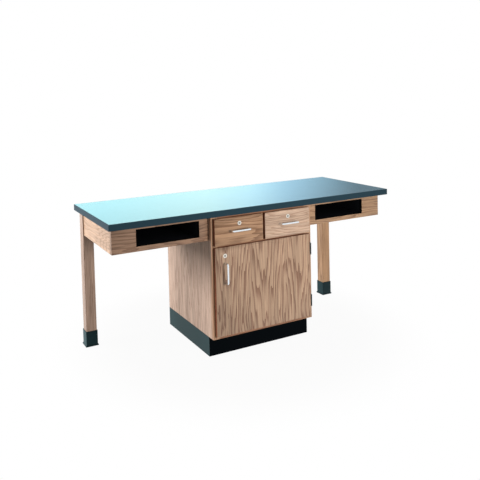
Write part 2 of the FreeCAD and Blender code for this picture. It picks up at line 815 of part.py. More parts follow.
def build_pull(node, at, way):
    """A bow pull: one bent rod, level on the drawers and upright on the door."""
    body = new_body(f"{node}_body", ())
    if way == "upright":
        body.Placement.Rotation = FreeCAD.Rotation(FreeCAD.Vector(0, 1, 0), -90)
    place(body, at)
    path = sketch_on(body, "XY_Plane")
    reach = size.pull_projection
    bend = size.pull_bend_radius
    span = size.pull_centres
    up = FreeCAD.Vector(0, 0, 1)
    near = (reach - bend).value
    path.addGeometry(Part.LineSegment(FreeCAD.Vector(0, 0, 0), FreeCAD.Vector(0, -near, 0)), False)
    path.addGeometry(Part.ArcOfCircle(Part.Circle(FreeCAD.Vector(bend.value, -near, 0), up, bend.value),
                                      math.pi, 1.5 * math.pi), False)
    path.addGeometry(Part.LineSegment(FreeCAD.Vector(bend.value, -reach.value, 0),
                                      FreeCAD.Vector((span - bend).value, -reach.value, 0)), False)
    path.addGeometry(Part.ArcOfCircle(
        Part.Circle(FreeCAD.Vector((span - bend).value, -near, 0), up, bend.value),
        1.5 * math.pi, 2 * math.pi), False)
    path.addGeometry(Part.LineSegment(FreeCAD.Vector(span.value, -near, 0),
                                      FreeCAD.Vector(span.value, 0, 0)), False)
    path.addConstraint(Sketcher.Constraint("Tangent", 0, 2, 1, 1))
    path.addConstraint(Sketcher.Constraint("Tangent", 1, 2, 2, 1))
    path.addConstraint(Sketcher.Constraint("Tangent", 2, 2, 3, 1))
    path.addConstraint(Sketcher.Constraint("Tangent", 3, 2, 4, 1))
    path.addConstraint(Sketcher.Constraint("Coincident", 0, 1, -1, 1))
    path.addConstraint(Sketcher.Constraint("Vertical", 0))
    path.addConstraint(Sketcher.Constraint("Horizontal", 2))
    path.addConstraint(Sketcher.Constraint("PointOnObject", 4, 2, -1))
    path.addConstraint(Sketcher.Constraint("Equal", 1, 3))
    index = path.addConstraint(Sketcher.Constraint("Radius", 1, bend.value))
    bind(path, f"Constraints[{index}]", bend)
    pin_point(path, 2, 1, "Y", -reach)
    pin_point(path, 4, 2, "X", span)
    section = sketch_on(body, "XZ_Plane")
    circle(section, size.pull_rod_radius)
    pipe = body.newObject("PartDesign::AdditivePipe", f"{node}_rod")
    pipe.Profile = section
    pipe.Spine = path
    keep(node, body)


def build_lock(node, x, z, reach, way):
    """A cam lock: flanged barrel with its nut on the front, keyed plug with its cam inside."""
    barrel = size.lock_barrel_radius
    body = new_body(f"{node}_barrel_body", (x, front_y, z))
    profile = sketch_on(body, "XY_Plane")
    bore = size.lock_plug_radius + size.lock_play
    outline(profile, [(bore, -size.lock_flange_thickness),
                      (size.lock_flange_radius, -size.lock_flange_thickness),
                      (size.lock_flange_radius, ZERO), (barrel, ZERO),
                      (barrel, size.lock_barrel_length), (bore, size.lock_barrel_length)])
    turned = body.newObject("PartDesign::Revolution", f"{node}_barrel_turned")
    turned.Profile = profile
    turned.ReferenceAxis = (profile, ["V_Axis"])
    turned.Angle = 360
    nut = rod(f"{node}_lock_nut", size.lock_nut_radius, size.lock_nut_thickness,
              (x, front_back_y, z), "+Y")
    nut_bore = rod(f"{node}_lock_nut_bore", barrel + size.nut_fit,
                   size.lock_nut_thickness + 2 * size.overrun,
                   (x, front_back_y - size.overrun, z), "+Y")
    keep(f"{node}_lock_barrel", group(f"{node}_lock_barrel_set",
                                      [body, cut(f"{node}_lock_nut_bored", nut, nut_bore)]))
    plug_y = front_y - size.lock_flange_thickness + size.lock_plug_recess
    cam_y = frame_back_y + size.cam_clearance
    plug = rod(f"{node}_plug", size.lock_plug_radius, cam_y - plug_y, (x, plug_y, z), "+Y")
    keyway = box(f"{node}_keyway", (size.keyway_width, size.keyway_depth + size.overrun,
                                    size.keyway_height),
                 (x - size.keyway_width / 2, plug_y - size.overrun, z - size.keyway_height / 2))
    half = size.cam_width / 2
    if way == "level":
        cam = box(f"{node}_cam", (reach + half, size.cam_thickness, size.cam_width),
                  (x - half, cam_y, z - half))
    else:
        cam = box(f"{node}_cam", (size.cam_width, size.cam_thickness, reach + half),
                  (x - half, cam_y, z - reach))
    keep(f"{node}_lock_plug", group(f"{node}_lock_plug_set",
                                    [cut(f"{node}_plug_keyed", plug, keyway), cam]))


def build_drawers():
    """Both drawers, then the four outer slide members, which stay on the case."""
    outers = build_drawer("left", stile_left_edge, face_left)
    outers += build_drawer("right", face_middle + size.mullion_width / 2,
                           face_right - drawer_front_width)
    keep("slide_outer_members", group("outer_set", outers))


def build_door():
    """The door with its band, pull and lock."""
    lock_x = face_left + size.door_pull_inset
    lock_z = door_top_z - size.door_lock_drop
    build_front("door", face_left, door_bottom_z, door_width, door_height, lock_x, lock_z)
    build_lock("door", lock_x, lock_z, size.door_cam_reach, "upright")
    low_post_z = door_top_z - size.door_pull_drop - size.pull_centres
    build_pull("door_pull", (lock_x, front_y, low_post_z), "upright")


def build_hinges():
    """Two five-knuckle hinges: three knuckles on the frame leaf, two on the door leaf."""
    leaf = size.hinge_leaf
    barrel = size.hinge_barrel_radius
    axis_x = face_right + leaf + size.hinge_play + barrel
    axis_y = front_y + size.hinge_front_setback
    pitch = size.hinge_height / KNUCKLES
    knuckle_height = pitch - size.hinge_play
    frame_leaves = []
    door_leaves = []
    pins = []
    for name, z in (("low", door_bottom_z + size.hinge_inset - size.hinge_height / 2),
                    ("high", door_top_z - size.hinge_inset - size.hinge_height / 2)):
        web_y = axis_y + barrel + size.hinge_play
        frame_pieces = [
            box(f"web_{name}", (leaf, frame_y - web_y, size.hinge_height),
                (axis_x - leaf / 2, web_y, z)),
            box(f"foot_{name}", (size.hinge_foot_width, leaf, size.hinge_height),
                (axis_x - leaf / 2, frame_y - leaf, z)),
        ]
        door_pieces = [
            box(f"plate_{name}", (leaf, front_back_y - axis_y, size.hinge_height),
                (face_right, axis_y, z)),
        ]
        for index in range(KNUCKLES):
            low = z + index * pitch + size.hinge_play / 2
            knuckle = rod(f"knuckle_{name}_{index}", barrel, knuckle_height, (axis_x, axis_y, low))
            if index % 2 == 0:
                tab = box(f"tab_{name}_{index}", (leaf, web_y - axis_y, knuckle_height),
                          (axis_x - leaf / 2, axis_y, low))
                frame_pieces += [knuckle, tab]
            else:
                tab = box(f"tab_{name}_{index}", (axis_x - face_right, leaf, knuckle_height),
                          (face_right, axis_y, low))
                door_pieces += [knuckle, tab]
        pins.append(rod(f"pin_{name}", size.hinge_pin_radius, size.hinge_height,
                        (axis_x, axis_y, z)))
        for kind, pieces, leaves in (("frame", frame_pieces, frame_leaves),
                                     ("door", door_pieces, door_leaves)):
            bore = rod(f"hinge_bore_{kind}_{name}", size.hinge_pin_radius + size.hinge_pin_play,
                       size.hinge_height + 2 * size.overrun, (axis_x, axis_y, z - size.overrun))
            solid = fuse(f"leaf_{kind}_{name}_solid", *pieces)
            leaves.append(cut(f"leaf_{kind}_{name}", solid, bore))
    keep("hinge_frame_leaves", group("frame_leaf_pair", frame_leaves))
    keep("hinge_door_leaves", group("door_leaf_pair", door_leaves))
    keep("hinge_pins", group("hinge_pin_pair", pins))


def shelf_y():
    """The shelf's front edge."""
    return frame_back_y + size.shelf_front_gap


def pin_columns():
    """The two lines of shelf pins on each side panel, front and rear."""
    return (shelf_y() + size.pin_setback, shelf_y() + size.shelf_depth - size.pin_setback)


def pin_z():
    """The height of the shelf pins' own centre line."""
    return size.shelf_height - size.pin_pad_thickness - size.pin_radius


def build_shelf():
    """A loose shelf and the four pins with flat pads that carry it."""
    width = 2 * (case_half - size.shelf_end_play)
    keep("shelf", box("shelf_board", (width, size.shelf_depth, size.shelf_thickness),
                      (-width / 2, shelf_y(), size.shelf_height)))
    pins = []
    for name, side in SIDES.items():
        for column, y in enumerate(pin_columns()):
            length = size.pin_hole_depth + size.pin_pad
            stem_low = side_low(side, case_half - size.pin_pad, length)
            stem = rod(f"shelf_pin_{name}_{column}_stem", size.pin_radius, length,
                       (stem_low, y, pin_z()), "+X")
            pad_low = side_low(side, case_half - size.pin_pad, size.pin_pad)
            rest = box(f"shelf_pin_{name}_{column}_pad",
                       (size.pin_pad, size.pin_pad, size.pin_pad_thickness + size.pin_radius),
                       (pad_low, y - size.pin_pad / 2, pin_z()))
            pins.append(fuse(f"shelf_pin_{name}_{column}", stem, rest))
    keep("shelf_pins", group("pin_set", pins))


def screw(label, x, y, seat_z):
    """A wood screw driven up into the worktop, its head under the seat."""
    shank = rod(label + "_shank", size.screw_radius, under_z - seat_z + size.screw_bite, (x, y, seat_z))
    head = rod(label + "_head", size.screw_head_radius, size.screw_head_height,
               (x, y, seat_z - size.screw_head_height))
    return fuse(label, shank, head)


def build_screws():
    """Screws through the top rails and the book boxes' flanges into the worktop."""
    screws = []
    for name, y in (("front", frame_back_y + size.top_rail_depth / 2),
                    ("rear", back_panel_y - size.top_rail_depth / 2)):
        for index, share in enumerate(RAIL_SCREW_SHARES):
            screws.append(screw(f"rail_screw_{name}_{index}", size.cabinet_width * share, y,
                                under_z - size.panel_thickness))
    for name, side in SIDES.items():
        near = opening_inner - book_wall_out - size.book_box_flange / 2
        far = opening_inner + opening_width + book_wall_out + size.book_box_flange / 2
        for row, x in enumerate((side * near, side * far)):
            for index, share in enumerate(FLANGE_SCREW_SHARES):
                screws.append(screw(f"flange_screw_{name}_{row}_{index}", x,
                                    wing_back_y + size.book_box_depth * share,
                                    under_z - size.book_box_wall))
    keep("worktop_screws", group("screw_set", screws))


build_worktop()
build_cabinet_case()
build_face_frame()
build_base()
build_wings()
build_book_boxes()
build_legs()
build_boots()
build_glides()
build_corner_brackets()
build_drawers()
build_door()
build_hinges()
build_shelf()
build_screws()
doc.recompute()

for thing in doc.Objects:
    if "Invalid" in thing.State or "Error" in thing.State:
        raise RuntimeError(f"{thing.Label} did not build: {thing.State}")
for node, thing in nodes.items():
    if thing.Shape.isNull() or not thing.Shape.isValid() or not thing.Shape.Solids:
        raise RuntimeError(f"{node} has no valid solid")
for node, thing in nodes.items():
    thing.Shape.exportStep(f"parts/{node}.step")
print(len(nodes), "sub-parts written")
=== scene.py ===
"""Laboratory workbench: the looks of its pieces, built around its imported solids."""
import json
import math

import bmesh
import bpy
from bpy.props import FloatProperty, FloatVectorProperty, PointerProperty
from mathutils import Matrix, Vector


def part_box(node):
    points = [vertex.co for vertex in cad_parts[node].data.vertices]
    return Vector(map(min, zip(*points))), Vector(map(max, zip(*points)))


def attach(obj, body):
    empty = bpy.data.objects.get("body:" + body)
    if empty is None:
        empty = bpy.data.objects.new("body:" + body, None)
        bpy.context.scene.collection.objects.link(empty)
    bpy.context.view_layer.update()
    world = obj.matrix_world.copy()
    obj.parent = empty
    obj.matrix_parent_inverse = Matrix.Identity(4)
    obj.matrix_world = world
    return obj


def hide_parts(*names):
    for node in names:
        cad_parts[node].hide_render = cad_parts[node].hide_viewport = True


bl_info = {
    "name": "Laboratory workbench looks",
    "version": (1, 0, 0),
    "blender": (4, 5, 0),
    "location": "3D View > Sidebar > Workbench",
    "description": "Finishes and fine pieces of a laboratory workbench, piece by piece",
    "category": "Object",
}

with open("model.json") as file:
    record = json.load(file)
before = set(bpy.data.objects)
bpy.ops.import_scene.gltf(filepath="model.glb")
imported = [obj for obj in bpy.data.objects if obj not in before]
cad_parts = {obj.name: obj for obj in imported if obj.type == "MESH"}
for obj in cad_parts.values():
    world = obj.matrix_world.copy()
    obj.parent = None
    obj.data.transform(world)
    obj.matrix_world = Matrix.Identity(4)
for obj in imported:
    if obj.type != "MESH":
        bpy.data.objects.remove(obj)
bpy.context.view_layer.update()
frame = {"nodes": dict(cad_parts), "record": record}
BODY_OF = {node: body for body, nodes in frame["record"]["behaviour"]["bodies"].items()
           for node in nodes}
MM = 0.001


def linear(code):
    """An sRGB hex value as linear red, green, blue and alpha."""
    shares = [int(code[i:i + 2], 16) / 255 for i in (0, 2, 4)]
    return [c / 12.92 if c <= 0.04045 else ((c + 0.055) / 1.055) ** 2.4 for c in shares] + [1.0]


def colour(name, description, code):
    """A colour setting whose default is an sRGB hex value."""
    return FloatVectorProperty(name=name, description=description, subtype="COLOR", size=4,
                               min=0, max=1, default=linear(code))


def span(name, description, millimetres):
    """A length setting whose default is given in millimetres."""
    return FloatProperty(name=name, description=description, default=millimetres * MM,
                         unit="LENGTH", min=0, precision=4)


# Materials

# Places of the two colours and of the result on a Mix node, whose sockets share their names
MIX_FROM = 6
MIX_TO = 7
MIXED = 2


def add(tree, kind, inputs=(), **settings):
    """Add a node, give it its settings, and fill its inputs with values or links."""
    made = tree.nodes.new("ShaderNode" + kind)
    for name, value in settings.items():
        setattr(made, name, value)
    for name, value in dict(inputs).items():
        if isinstance(value, bpy.types.NodeSocket):
            tree.links.new(value, made.inputs[name])
        else:
            made.inputs[name].default_value = value
    return made


def new_material(name, **shader):
    """An empty material, its node tree and its surface shader, with even values set on it."""
    material = bpy.data.materials.new(name)
    material.use_nodes = True
    tree = material.node_tree
    tree.nodes.clear()
    surface = add(tree, "BsdfPrincipled", {key.replace("_", " "): value
                                           for key, value in shader.items()})
    add(tree, "OutputMaterial", {"Surface": surface.outputs[0]})
    return material, tree, surface


def grain_space(tree, along, across):
    """The place on a board in millimetres: along its grain, across it, and into the board."""
    place = add(tree, "TexCoord").outputs["Object"]
    scaled = add(tree, "VectorMath", {0: place, "Scale": 1 / MM}, operation="SCALE").outputs[0]
    axes = add(tree, "SeparateXYZ", {0: scaled}).outputs
    depth = ({"X", "Y", "Z"} - {along, across}).pop()
    return axes[along], axes[across], axes[depth]


# Noise that shapes the figure of wood: how long its blobs are along the grain and how wide, in
# millimetres, how finely they are broken up, and what is added to a board's seed
SWAY = (480, 110, 1.0, 0.0)
BEND = (300, 140, 1.0, 3.7)
RIPPLE = (300, 14, 1.0, 9.1)
SHADE = (380, 30, 3.0, 1.9)
# Lines a few millimetres wide that run the length of the sheet
LINES = (220, 6, 2.0, 7.7)
# Pores are about 0.3 mm wide: drawn 2 mm wide, so that they show as short dashes
PORES = (26, 2.0, 3.0, 5.3)


def streaks(tree, space, blobs, seed):
    """One of the noises above, drawn out along the grain."""
    length, width, detail, offset = blobs
    spots = [add(tree, "Math", {0: value, 1: 1 / reach, 2: seed + offset},
                 operation="MULTIPLY_ADD").outputs[0]
             for value, reach in zip(space, (length, width, width))]
    place = add(tree, "CombineXYZ", dict(enumerate(spots))).outputs[0]
    return add(tree, "TexNoise", {"Vector": place, "Scale": 1.0, "Detail": detail}).outputs["Fac"]


# How far around its middle a board's flames are rounded off, in millimetres
ROUND_OFF = 40.0
# The part of a year's ring in which the dark spring wood fades into the late wood
SPRING = (0.05, 0.6)
# The noise above which a pore begins and is deepest, how dark it is there, and its colour
PORE_STARTS = 0.54
PORE_DEEPEST = 0.72
PORE_DARKNESS = 0.75
PORE_COLOUR = linear("5C4331")
# The share of the pores that the late wood has too
LATE_PORES = 0.3
# Most of a noise lies between these values
NOISE_SPAN = (0.3, 0.7)
# How much darker and lighter the broad shades and the fine lines get
SHADE_SPAN = (0.86, 1.12)
LINE_SPAN = (0.8, 1.2)
# Roughness of the lacquer where it lies closed and where it sinks into pores
LACQUER_SPAN = (0.4, 0.6)
# How deep the lacquer sinks there, in millimetres, and how strongly that shows
PORE_DEPTH = 0.3
PORE_RELIEF = 0.25
# The lacquer's clear coat: its weight for each unit of shine, and its roughness
COAT_WEIGHT = 0.25
COAT_ROUGHNESS = 0.3
# How far the flames of a sheet of veneer drift along it, in widths of the sheet
DRIFT = 3


def oak(name, along, across, pith, ring, late, early, figure, taper=0.0, flame=0.0, middle=0.0,
        wander=60.0, ruffle=20.0, leaf=0.0, pore=PORE_COLOUR, shine=0.35, seed=0.0):
    """Red oak under satin lacquer, sliced so that its growth rings show as flames and lines.

    A point's ring comes from its distance to the tree's pith, whose place is given across the
    board and in its depth. ring is the width of a year's growth, taper how fast the pith leaves
    the face, flame how far the rings lean for each millimetre away from the board's middle,
    wander how far the trunk sways, ruffle how far its rings waver and leaf the width of the
    sheets of veneer. Lengths are in millimetres. late, early and pore are the colours of late
    wood, spring wood and pores, figure how strongly the spring wood shows, and shine the
    strength of the lacquer's gloss.
    """
    material, tree, surface = new_material(name, Specular_IOR_Level=shine,
                                           Coat_Weight=shine * COAT_WEIGHT,
                                           Coat_Roughness=COAT_ROUGHNESS)
    space = grain_space(tree, along, across)
    length, width, depth = space
    sway = streaks(tree, space, SWAY, seed)
    bend = streaks(tree, space, BEND, seed)
    ripple = streaks(tree, space, RIPPLE, seed)
    side = add(tree, "Math", {0: width, 1: -pith[0]}, operation="ADD").outputs[0]
    away = add(tree, "Math", {0: length, 1: -middle}, operation="ADD").outputs[0]
    if leaf:
        # sheets of veneer lie side by side, cut from the same log and slipped along it
        sheet = add(tree, "Math", {0: side, 1: leaf}, operation="SNAP").outputs[0]
        slip = add(tree, "TexWhiteNoise", {"W": sheet}, noise_dimensions="1D").outputs["Value"]
        away = add(tree, "Math", {0: slip, 1: leaf, 2: away},
                   operation="MULTIPLY_ADD").outputs[0]
        away = add(tree, "Math", {0: bend, 1: DRIFT * leaf, 2: away},
                   operation="MULTIPLY_ADD").outputs[0]
        side = add(tree, "Math", {0: side, 1: 0.0, 2: leaf}, operation="WRAP").outputs[0]
        side = add(tree, "Math", {0: side, 1: -leaf / 2}, operation="ADD").outputs[0]
    side = add(tree, "Math", {0: sway, 1: wander, 2: side}, operation="MULTIPLY_ADD").outputs[0]
    rise = add(tree, "Math", {0: length, 1: taper, 2: -pith[1]},
               operation="MULTIPLY_ADD").outputs[0]
    rise = add(tree, "Math", {0: bend, 1: wander, 2: rise}, operation="MULTIPLY_ADD").outputs[0]
    rise = add(tree, "Math", {0: rise, 1: depth}, operation="ADD").outputs[0]
    spoke = add(tree, "CombineXYZ", {0: side, 1: rise}).outputs[0]
    radius = add(tree, "VectorMath", {0: spoke}, operation="LENGTH").outputs["Value"]
    lean = add(tree, "CombineXYZ", {0: away, 1: ROUND_OFF}).outputs[0]
    lean = add(tree, "VectorMath", {0: lean}, operation="LENGTH").outputs["Value"]
    radius = add(tree, "Math", {0: lean, 1: -flame, 2: radius},
                 operation="MULTIPLY_ADD").outputs[0]
    radius = add(tree, "Math", {0: ripple, 1: ruffle, 2: radius},
                 operation="MULTIPLY_ADD").outputs[0]
    years = add(tree, "Math", {0: radius, 1: ring}, operation="DIVIDE").outputs[0]
    year = add(tree, "Math", {0: years}, operation="FRACT").outputs[0]
    spring = add(tree, "MapRange", {"Value": year, "From Min": SPRING[0], "From Max": SPRING[1],
                                    "To Min": 1.0, "To Max": 0.0},
                 interpolation_type="SMOOTHSTEP").outputs[0]
    spring = add(tree, "Math", {0: spring, 1: figure}, operation="MULTIPLY").outputs[0]
    pores = streaks(tree, space, PORES, seed)
    pores = add(tree, "MapRange", {"Value": pores, "From Min": PORE_STARTS,
                                   "From Max": PORE_DEEPEST, "To Min": 0.0,
                                   "To Max": PORE_DARKNESS}).outputs[0]
    reach = add(tree, "Math", {0: spring, 1: 1 - LATE_PORES, 2: LATE_PORES},
                operation="MULTIPLY_ADD").outputs[0]
    pores = add(tree, "Math", {0: pores, 1: reach}, operation="MULTIPLY").outputs[0]
    shade = streaks(tree, space, SHADE, seed)
    shade = add(tree, "MapRange", {"Value": shade, "From Min": NOISE_SPAN[0],
                                   "From Max": NOISE_SPAN[1], "To Min": SHADE_SPAN[0],
                                   "To Max": SHADE_SPAN[1]}).outputs[0]
    lines = streaks(tree, space, LINES, seed)
    lines = add(tree, "MapRange", {"Value": lines, "From Min": NOISE_SPAN[0],
                                   "From Max": NOISE_SPAN[1], "To Min": LINE_SPAN[0],
                                   "To Max": LINE_SPAN[1]}).outputs[0]
    shade = add(tree, "Math", {0: shade, 1: lines}, operation="MULTIPLY").outputs[0]
    wood = add(tree, "Mix", {"Factor": spring, MIX_FROM: late, MIX_TO: early},
               data_type="RGBA").outputs[MIXED]
    wood = add(tree, "Mix", {"Factor": pores, MIX_FROM: wood, MIX_TO: pore},
               data_type="RGBA").outputs[MIXED]
    wood = add(tree, "VectorMath", {0: wood, "Scale": shade}, operation="SCALE").outputs[0]
    tree.links.new(wood, surface.inputs["Base Color"])
    gloss = add(tree, "MapRange", {"Value": pores, "To Min": LACQUER_SPAN[0],
                                   "To Max": LACQUER_SPAN[1]}).outputs[0]
    tree.links.new(gloss, surface.inputs["Roughness"])
    relief = add(tree, "Bump", {"Strength": PORE_RELIEF, "Distance": PORE_DEPTH * MM,
                                "Height": pores}, invert=True)
    tree.links.new(relief.outputs[0], surface.inputs["Normal"])
    return material


# The noise above which a fleck begins and is full
FLECK_SPAN = (0.4, 0.65)
# How finely the flecks are broken up, and how strongly their relief shows
FLECK_DETAIL = 3.0
FLECK_RELIEF = 0.4
# How far the flecks' roughness departs from the surface's
ROUGHNESS_SPREAD = 0.05


def speckled(name, base, fleck, fleck_mm, roughness, relief_mm=0.1, amount=0.5, **shader):
    """An even surface with fine flecks of a second colour and a low relief of the same size."""
    material, tree, surface = new_material(name, **shader)
    place = add(tree, "TexCoord").outputs["Object"]
    noise = add(tree, "TexNoise", {"Vector": place, "Scale": 1 / (fleck_mm * MM),
                                   "Detail": FLECK_DETAIL}).outputs[0]
    share = add(tree, "MapRange", {"Value": noise, "From Min": FLECK_SPAN[0],
                                   "From Max": FLECK_SPAN[1], "To Min": 0.0,
                                   "To Max": amount}).outputs[0]
    ground = add(tree, "Mix", {"Factor": share, MIX_FROM: base, MIX_TO: fleck},
                 data_type="RGBA").outputs[MIXED]
    tree.links.new(ground, surface.inputs["Base Color"])
    gloss = add(tree, "MapRange", {"Value": noise, "To Min": roughness - ROUGHNESS_SPREAD,
                                   "To Max": roughness + ROUGHNESS_SPREAD}).outputs[0]
    tree.links.new(gloss, surface.inputs["Roughness"])
    bump = add(tree, "Bump", {"Strength": FLECK_RELIEF, "Distance": relief_mm * MM,
                              "Height": noise})
    tree.links.new(bump.outputs[0], surface.inputs["Normal"])
    return material


# Colours are sRGB hex values, and the settings below take them as their defaults
WOODS = {
    # plain-sliced veneer stands upright on the door: brown flames on a tan ground
    "door oak": dict(
        name="red_oak_veneer_door_satin_lacquer", along="Z", across="X", pith=(-95, -310),
        ring=14.0, flame=0.07, middle=650.0, wander=60.0, ruffle=24.0, leaf=220.0,
        late="AA927D", early="69483A", figure=0.72, seed=2.0),
    # the same veneer laid level on the left drawer's front: long waves
    "left drawer oak": dict(
        name="red_oak_veneer_left_drawer_satin_lacquer", along="X", across="Z", pith=(650, -310),
        ring=15.0, flame=0.08, middle=-150.0, wander=90.0, ruffle=12.0,
        late="9E8066", early="664833", figure=0.72, seed=6.0),
    # a pinker and quieter sheet on the right drawer
    "right drawer oak": dict(
        name="red_oak_veneer_right_drawer_satin_lacquer", along="X", across="Z", pith=(600, -320),
        ring=12.0, flame=0.1, middle=250.0, wander=100.0,
        late="B7A18F", early="927664", figure=0.6, seed=11.0),
    # level sheets on the wings' front boards, the left one darker
    "left wing oak": dict(
        name="red_oak_veneer_left_wing_satin_lacquer", along="X", across="Z", pith=(640, -275),
        ring=16.0, taper=0.05, wander=110.0,
        late="8D7360", early="5A4335", figure=0.65, seed=4.0),
    "right wing oak": dict(
        name="red_oak_veneer_right_wing_satin_lacquer", along="X", across="Z", pith=(640, -190),
        ring=16.0, taper=0.05, wander=110.0,
        late="A4876C", early="6A4D3A", figure=0.65, seed=9.0),
    # a paler sheet with wide flames on the wings' ends
    "end oak": dict(
        name="red_oak_veneer_end_satin_lacquer", along="Y", across="Z", pith=(650, -850),
        ring=13.0, taper=0.1, flame=0.15, late="B89D86", early="886950", figure=0.6, seed=8.0),
    # straight-grained sheets on the cabinet sides: faint, close upright lines
    "side oak": dict(
        name="red_oak_veneer_side_satin_lacquer", along="Z", across="Y", pith=(40, -520),
        ring=9.0, wander=40.0, late="C2AD9E", early="8D7162", figure=0.45, shine=0.03, seed=1.0),
    # a browner sheet with long soft flames on the back
    "back oak": dict(
        name="red_oak_veneer_back_satin_lacquer", along="Z", across="X", pith=(40, -520),
        ring=11.0, wander=60.0, late="A98F79", early="7C614D", figure=0.5, shine=0.1, seed=13.0),
    # sawn lumber, planed and lacquered: straight lines and open pores
    "stile oak": dict(
        name="red_oak_lumber_stiles_satin_lacquer", along="Z", across="X", pith=(0, -360),
        ring=8.0, wander=20.0, late="A8886F", early="765843", figure=0.5),
    # the rails' oak is darker and redder than the stiles' as painted shade of the strips of rail
    # under the worktop's overhang and between the fronts
    "rail oak": dict(
        name="red_oak_lumber_rails_satin_lacquer", along="X", across="Z", pith=(0, -360),
        ring=8.0, wander=20.0, late="8F6A52", early="6B4937", figure=0.5),
    # the two legs come from different planks: a greyer and a yellower one
    "left leg oak": dict(
        name="red_oak_lumber_left_leg_satin_lacquer", along="Z", across="X", pith=(0, 180),
        ring=9.0, wander=30.0, late="A08B7D", early="7B6455", figure=0.6, seed=7.0),
    "right leg oak": dict(
        name="red_oak_lumber_right_leg_satin_lacquer", along="Z", across="X", pith=(0, 180),
        ring=9.0, wander=30.0, late="B69475", early="8C6B4D", figure=0.6, seed=5.0),
    # edge banding coloured dark brown as painted shade of the gaps beside the fronts, with the
    # faint figure of wood
    "dark edge": dict(
        name="stained_oak_edge_band_satin", along="X", across="Z", pith=(0, -340), ring=7.0,
        wander=20.0, late="7E4F3A", early="643927", pore="3A2016", figure=0.5, shine=0.15),
    # birch plywood: pale, with a soft figure
    "birch": dict(
        name="birch_plywood_satin_lacquer", along="Y", across="X", pith=(0, 500), ring=16.0,
        wander=80.0, late="DCC29A", early="CBA97C", pore="B08C62", figure=0.5, seed=3.0),
}
SURFACES = {
    # high-pressure laminate: blue-black and satin, so that it mirrors what is bright behind it
    "laminate": dict(
        name="high_pressure_laminate_satin_blue_black", base="1C3038", fleck="283F48",
        fleck_mm=2.5, roughness=0.27, relief_mm=0.02, Specular_IOR_Level=0.5),
    # the same sheet as an edge band, without that shine
    "laminate edge": dict(
        name="laminate_edge_band_satin_blue_black", base="1A313D", fleck="27414D",
        fleck_mm=2.5, roughness=0.45, relief_mm=0.05, Specular_IOR_Level=0.15),
    # phenolic paper that balances the laminate under the board: flat brown-black
    "backer": dict(
        name="phenolic_backer_sheet_matt", base="17110E", fleck="221A15",
        fleck_mm=4.0, roughness=0.7, Specular_IOR_Level=0.15),
    # paint brushed on the cut edges of the openings: dull black
    "edge paint": dict(
        name="black_paint_cut_edges_matt", base="08090A", fleck="0E1012",
        fleck_mm=2.0, roughness=0.6, Specular_IOR_Level=0.1),
    # raw particle board: pressed chips of several browns
    "chipboard": dict(
        name="particle_board_raw", base="A98A62", fleck="7E6242",
        fleck_mm=3.0, roughness=0.85, relief_mm=0.3, amount=1.0),
    # vinyl-faced base boards: near black in front, and on the sides a greener copy of it as painted
    # sheen, where light rakes along them
    "black base": dict(
        name="base_laminate_satin_black", base="030609", fleck="070C10",
        fleck_mm=3.0, roughness=0.55, Specular_IOR_Level=0.02),
    "base side": dict(
        name="base_laminate_satin_green_black", base="1A3438", fleck="254346",
        fleck_mm=3.0, roughness=0.4, Specular_IOR_Level=0.1),
    # sheet steel under baked enamel: matt black
    "black steel": dict(
        name="sheet_steel_baked_enamel_black", base="101217", fleck="191B21",
        fleck_mm=1.5, roughness=0.6, relief_mm=0.05, Specular_IOR_Level=0.3),
    # moulded rubber boots: black-green with a soft sheen
    "boot rubber": dict(
        name="moulded_rubber_black", base="142428", fleck="1C353A",
        fleck_mm=2.0, roughness=0.45, Specular_IOR_Level=0.15),
    # the same rubber on the left boot's sides, greyed as painted sheen where the raking light falls
    "boot side": dict(
        name="moulded_rubber_grey_black", base="2C4347", fleck="365055",
        fleck_mm=2.0, roughness=0.4, Specular_IOR_Level=0.3),
    # zinc plate on steel: bright grey, slightly mottled
    "zinc": dict(
        name="zinc_plated_steel", base="B4B8BC", fleck="9CA2A8",
        fleck_mm=4.0, roughness=0.35, Metallic=1.0),
    # enamel on the steel of the hinges: near black, a little glossy
    "black hinge": dict(
        name="black_enamelled_steel", base="141A1C", fleck="1D2527",
        fleck_mm=2.0, roughness=0.45),
    # chromium plate: mirror bright, near white
    "chrome": dict(
        name="chromium_plate_bright", base="E8EEF2", fleck="DDE4EA",
        fleck_mm=6.0, roughness=0.12, relief_mm=0.01, Metallic=1.0),
    # nickel plate on the die-cast locks: warmer and softer than chrome
    "nickel": dict(
        name="nickel_plate_bright", base="F4F1EA", fleck="E6E1D6",
        fleck_mm=3.0, roughness=0.16, relief_mm=0.01, Metallic=1.0),
    # the plug that takes the key: nickel greyed as painted shade, so that it shows greyer than the
    # ring around it
    "worn nickel": dict(
        name="nickel_plate_worn", base="B9B6AD", fleck="A09C92",
        fleck_mm=1.5, roughness=0.3, relief_mm=0.02, Metallic=1.0),
}
FINISHES = {**WOODS, **SURFACES}
# The materials made so far
MADE = {}
# The colours that a finish can have, and what each is the colour of
COLOURS_OF = {"late": "late wood", "early": "spring wood", "pore": "pores",
              "base": "ground", "fleck": "flecks"}


def setting_name(finish_name, part):
    """What a finish's colour is called among the settings."""
    return f"{finish_name} {part}".replace(" ", "_")


class FinishSettings(bpy.types.PropertyGroup):
    """A colour setting for each colour in the tables above."""

    __annotations__ = {
        setting_name(finish_name, part): colour(f"{finish_name.capitalize()}, {label}",
                                                f"Colour of the {label} in the {finish_name}",
                                                look[part])
        for finish_name, look in FINISHES.items()
        for part, label in COLOURS_OF.items() if part in look}


def finish(name):
    """The material of a finish in the colours set for it, made when it is first asked for."""
    if name not in MADE:
        look = FINISHES[name]
        chosen = bpy.context.scene.workbench_finishes
        colours = {part: getattr(chosen, setting_name(name, part))
                   for part in COLOURS_OF if part in look}
        make = oak if name in WOODS else speckled
        MADE[name] = make(**{**look, **colours})
    return MADE[name]


